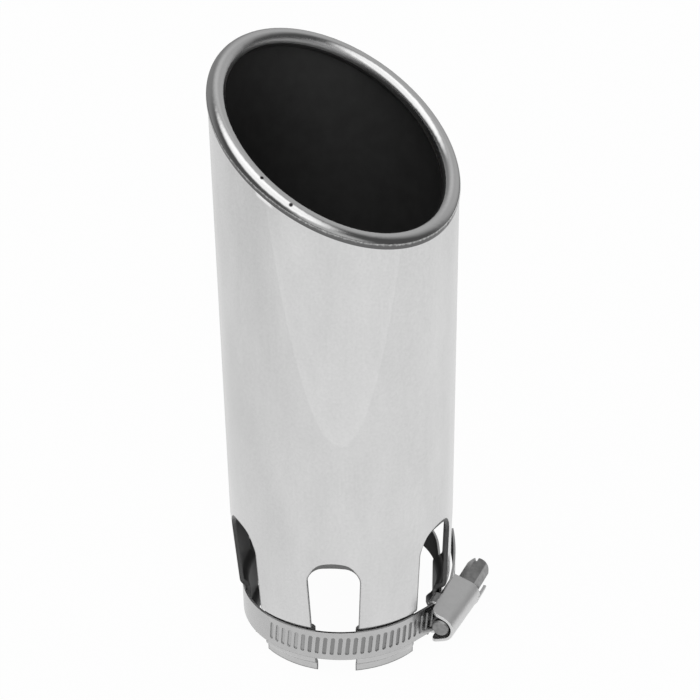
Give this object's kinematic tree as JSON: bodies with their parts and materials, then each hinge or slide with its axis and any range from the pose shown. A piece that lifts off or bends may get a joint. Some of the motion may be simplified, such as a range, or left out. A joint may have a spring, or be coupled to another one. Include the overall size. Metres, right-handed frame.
{
  "type": "exhaust tip",
  "caption": "Polished steel tube with a slant-cut rolled mouth and slotted inlet fingers that a worm-drive band clamps onto a tailpipe.",
  "frame": {"origin": "centre of the inlet end, on the tube's axis and level with the finger ends", "axes": "+Z along the tube from the inlet to the mouth; the slanted mouth is lowest towards -Y"},
  "size_m": [0.0732, 0.0778, 0.1692],
  "materials": {
    "tube_steel": "polished",
    "band_steel": "satin",
    "housing_steel": "satin",
    "screw_steel": "dull plated"
  },
  "bodies": {
    "tip": {"tip_tube": "tube_steel", "clamp_band": "band_steel", "clamp_housing": "housing_steel"},
    "screw": {"clamp_screw": "screw_steel"}
  },
  "joints": [
    {"name": "screw_turn", "type": "hinge", "parent": "tip", "child": "screw", "pos_m": [0.01512, -0.03007, 0.01035], "axis": [0.8934, 0.4493, 0], "continuous": true}
  ]
}
